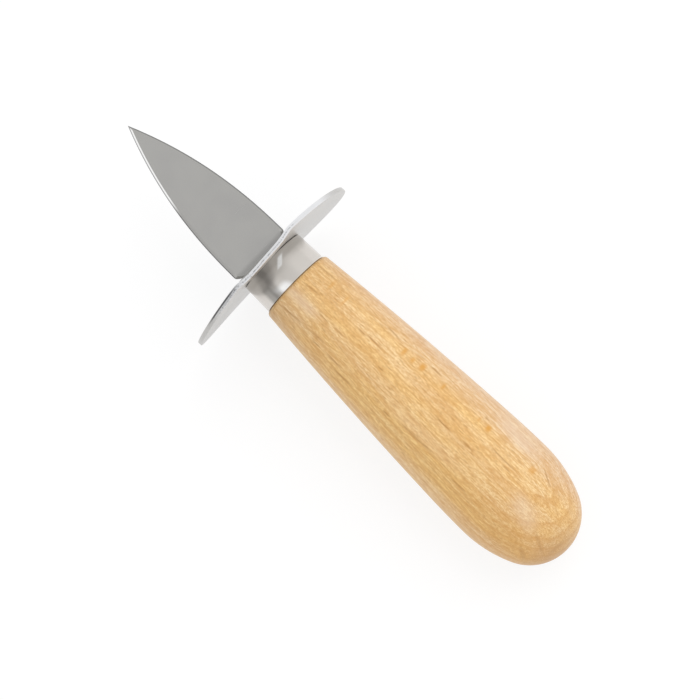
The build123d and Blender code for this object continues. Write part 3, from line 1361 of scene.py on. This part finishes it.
@dataclass
class Studio:
    """A pale floor, soft light and a camera that looks almost square at the blade's flat side."""

    photo_pixels: float = 700.0
    pixel: float = 0.262 * MM
    distance_pixels: float = 2600.0
    sensor_mm: float = 36.0
    nearest: float = 10.0 * MM
    aim_x: float = -22.03 * MM
    aim_y: float = 2.36 * MM
    roll_degrees: float = 44.39622
    lamp_toward: Triple = (0.1, -0.6, 0.9)
    lamp_distance: float = 0.9
    lamp_size: float = 0.7
    lamp_power: float = 2.6
    floor_size: float = 3.0
    floor_tone: Triple = (0.86, 0.86, 0.86)
    floor_glow: float = 1.08
    floor_glow_share: float = 0.75
    room_light: Triple = (0.79, 0.79, 0.8)
    walls: Triple = (0.95, 0.95, 0.95)
    ceiling: Triple = (0.84, 0.84, 0.84)
    ceiling_rise: Pair = (0.75, 0.97)
    dark_wall: Triple = (0.5, 0.5, 0.5)
    dark_wall_side: Pair = (0.45, 0.7)
    dark_wall_top: Pair = (0.82, 0.6)
    dark_wall_foot: Pair = (0.2, 0.4)
    white: Triple = (1.0, 1.0, 1.0)

    def camera(self, place: KnifeFrame) -> None:
        """Stand the camera above the blade, a little to the butt's side, turned as photographed.

        Args:
            place: The knife's frame.
        """
        pitch, roll = math.radians(VIEW_PITCH), math.radians(self.roll_degrees)
        along = math.cos(pitch) * place.along + math.sin(pitch) * place.up
        back = math.cos(pitch) * place.up - math.sin(pitch) * place.along
        right = -math.cos(roll) * along - math.sin(roll) * place.across
        aim = place.place(np.array((self.aim_x, self.aim_y, 0.0)))
        spot = aim + back * self.distance_pixels * self.pixel
        lens = bpy.data.cameras.new("camera")
        lens.sensor_width = self.sensor_mm
        lens.lens = self.sensor_mm * self.distance_pixels / self.photo_pixels
        lens.clip_start = self.nearest
        camera = bpy.data.objects.new("camera", lens)
        stand(camera, right, np.cross(back, right), back, spot)
        bpy.context.scene.camera = camera

    def lamp(self, place: KnifeFrame) -> None:
        """Hang a square lamp in a direction of the knife's and point it at the knife.

        Args:
            place: The knife's frame.
        """
        back = np.array(self.lamp_toward) / np.linalg.norm(self.lamp_toward) @ place.axes()
        side = np.cross((0.0, 0.0, 1.0), back)
        side /= np.linalg.norm(side)
        light = bpy.data.lights.new("key", "AREA")
        light.size = self.lamp_size
        light.energy = self.lamp_power
        lamp = bpy.data.objects.new("key", light)
        lamp.visible_glossy = False
        middle = place.place(np.array((self.aim_x, 0.0, 0.0)))
        stand(lamp, side, np.cross(back, side), back, middle + back * self.lamp_distance)

    def floor(self) -> None:
        """Lay a pale floor under the knife, which camera and metal see as white with a soft shadow."""
        half = self.floor_size / 2
        mesh = bpy.data.meshes.new("floor")
        corners = [(-half, -half, 0.0), (half, -half, 0.0), (half, half, 0.0), (-half, half, 0.0)]
        mesh.from_pydata(corners, [], [(0, 1, 2, 3)])
        floor = bpy.data.objects.new("floor", mesh)
        bpy.context.scene.collection.objects.link(floor)
        bench = Bench.for_material("pale_floor")
        path = bench.node("ShaderNodeLightPath", output="Is Camera Ray")
        seen = path.largest(path.output("Is Glossy Ray"))
        matt = bench.node("ShaderNodeBsdfDiffuse", inputs={"Color": self.floor_tone})
        lit = bench.node("ShaderNodeEmission", inputs={"Color": self.white, "Strength": self.floor_glow})
        glow = seen * self.floor_glow_share
        shader = bench.node("ShaderNodeMixShader", inputs={0: glow, 1: matt, 2: lit})
        bench.node("ShaderNodeOutputMaterial", inputs={"Surface": shader})
        mesh.materials.append(bench.owner)

    def world(self) -> None:
        """Light the room from all sides: white for the camera, and a studio's tones for metal."""
        world = bpy.data.worlds.new("studio")
        bpy.context.scene.world = world
        bench = Bench(world)
        _, across, up = bench.split(bench.node("ShaderNodeTexCoord", output="Generated"))
        dark = up.step(*self.dark_wall_top) * up.step(*self.dark_wall_foot)
        dark = across.step(*self.dark_wall_side) * dark
        room = bench.mix(up.step(*self.ceiling_rise), self.walls, self.ceiling)
        room = bench.mix(dark, room, self.dark_wall)
        path = bench.node("ShaderNodeLightPath", output="Is Camera Ray")
        plain = bench.mix(path, self.room_light, self.white)
        colour = bench.mix(path.output("Is Glossy Ray"), plain, room)
        sky = bench.node("ShaderNodeBackground", inputs={"Color": colour, "Strength": 1.0})
        bench.node("ShaderNodeOutputWorld", inputs={"Surface": sky})


def dark_lines() -> MarkSet:
    """The dark lines and dashes that show in the upper side of the handle, and one painted shade band
    across the butt.
    """
    marks = (
        WoodMark(-3.3, -7.8, 4.5, 0.20, 0.1, 0.5),
        WoodMark(-26.9, -8.7, 2.8, 0.23, 0.0, 0.6),
        WoodMark(-41.7, -9.3, 2.0, 0.23, 0.0, 0.7),
        WoodMark(-3.8, -2.0, 3.2, 0.25, 0.1, 0.55),
        WoodMark(-11.2, 1.2, 1.8, 0.20, 0.0, 0.7),
        WoodMark(-16.6, 1.1, 1.8, 0.20, 0.0, 0.6),
        WoodMark(-4.8, 6.4, 3.4, 0.25, 0.07, 0.6),
        WoodMark(-13.4, 5.8, 3.0, 0.25, 0.07, 0.5),
        WoodMark(-14.6, 7.3, 1.4, 0.21, 0.0, 0.6),
        WoodMark(-21.0, 7.3, 2.6, 0.21, 0.0, 0.6),
        WoodMark(-40.2, 7.5, 1.3, 0.23, 0.0, 0.7),
        WoodMark(-25.4, 8.8, 3.4, 0.27, 0.0, 0.6),
        WoodMark(-50.0, 6.6, 6.0, 0.27, 0.02, 0.55),
        WoodMark(-21.0, -3.1, 1.5, 0.20, 0.0, 0.7),
        WoodMark(-25.1, -3.5, 2.6, 0.21, 0.0, 0.8),
        WoodMark(-30.9, 0.3, 1.0, 0.21, 0.0, 0.7),
        WoodMark(-52.3, -0.8, 2.7, 0.21, 0.0, 0.85),
        WoodMark(-60.7, -1.1, 1.9, 0.21, 0.0, 0.8),
        WoodMark(-69.5, -5.1, 4.6, 0.22, 0.0, 0.75),
        WoodMark(-71.9, -3.9, 1.5, 0.21, 0.0, 0.6),
        WoodMark(-81.3, -9.5, 2.2, 0.24, -0.5, 0.7),
        WoodMark(-59.7, -9.7, 0.9, 0.22, 0.0, 0.7),
        WoodMark(-66.2, 7.8, 2.8, 0.22, 0.0, 0.55),
        WoodMark(-91.5, 3.9, 3.0, 0.5, -0.46, 0.4),
        WoodMark(-90.3, 8.7, 2.0, 0.6, -0.45, 0.35),
        # A painted shade band across the butt, just before its end.
        WoodMark(-95.7, 1.3, 0.5, 3.4, 0.0, 0.3),
    )
    return MarkSet(PORE, 0.5, marks)


def ray_flecks() -> MarkSet:
    """The squarish ray flecks that show along one side of the handle."""
    marks = (
        WoodMark(-6.9, -6.2, 0.5, 1.6, 0.0, 0.5),
        WoodMark(-12.2, -5.9, 0.4, 1.4, 0.0, 0.55),
        WoodMark(-32.3, -7.1, 0.6, 1.1, 0.0, 0.8),
        WoodMark(-35.4, -7.1, 0.6, 0.8, 0.0, 0.75),
        WoodMark(-38.5, -7.6, 0.9, 1.1, 0.0, 0.95),
        WoodMark(-45.8, -7.7, 0.5, 0.9, 0.0, 0.75),
        WoodMark(-58.2, -8.2, 0.4, 0.8, 0.0, 0.6),
        WoodMark(-61.5, -8.1, 0.85, 0.9, 0.0, 1.0),
        WoodMark(-77.0, -8.2, 1.0, 1.0, 0.0, 0.65),
    )
    return MarkSet((0.74, 0.36, 0.07), 0.9, marks)


def painted_varnish_sheens() -> MarkSet:
    """Painted sheens: the pale highlights that the light leaves on the varnish, painted in as pale marks.
    """
    marks = (
        WoodMark(-3.6, 2.2, 7.0, 1.4, 0.0, 0.2),
        WoodMark(-4.5, 4.0, 5.5, 5.5, 0.0, 0.07),
        WoodMark(-68.7, -11.8, 8.0, 1.7, 0.0, 0.25),
        WoodMark(-50.7, 5.1, 14.0, 1.6, 0.0, 0.09),
        WoodMark(-83.0, 0.9, 5.5, 2.6, -0.25, 0.21),
    )
    return MarkSet((0.95, 0.86, 0.76), 1.5, marks)


def main() -> None:
    """Build, dress and report each piece, then light and frame the scene."""
    logging.basicConfig(level=logging.INFO, format="%(name)s %(message)s")
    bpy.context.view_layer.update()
    blade = Blade()
    place = KnifeFrame.from_record(frame["record"], MOUNT_AHEAD, TANG_ASIDE, blade.half_thickness)
    handle = Handle(finish=BeechFinish(marks=(painted_varnish_sheens(), dark_lines(), ray_flecks())))
    pieces = (
        (handle, "handle", "beech"),
        (Ferrule(), "ferrule", "ferrule_steel"),
        (Guard(), "guard", "guard_steel"),
        (blade, "blade", "blade_steel"),
    )
    for maker, node, slot in pieces:
        piece = maker.build(place)
        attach(piece, ROOT_BODY)
        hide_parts(node)
        LOG.info("%s stands for %s, %d faces", piece.name, node, len(piece.data.polygons))
    resin = frame["nodes"]["tang_resin"]
    resin.data.materials.clear()
    resin.data.materials.append(ResinFinish().build(place))
    LOG.info("tang_resin keeps its CAD mesh")
    bpy.context.scene.view_settings.view_transform = "Standard"
    studio = Studio()
    studio.camera(place)
    studio.lamp(place)
    studio.floor()
    studio.world()


if __name__ == "__main__":
    main()
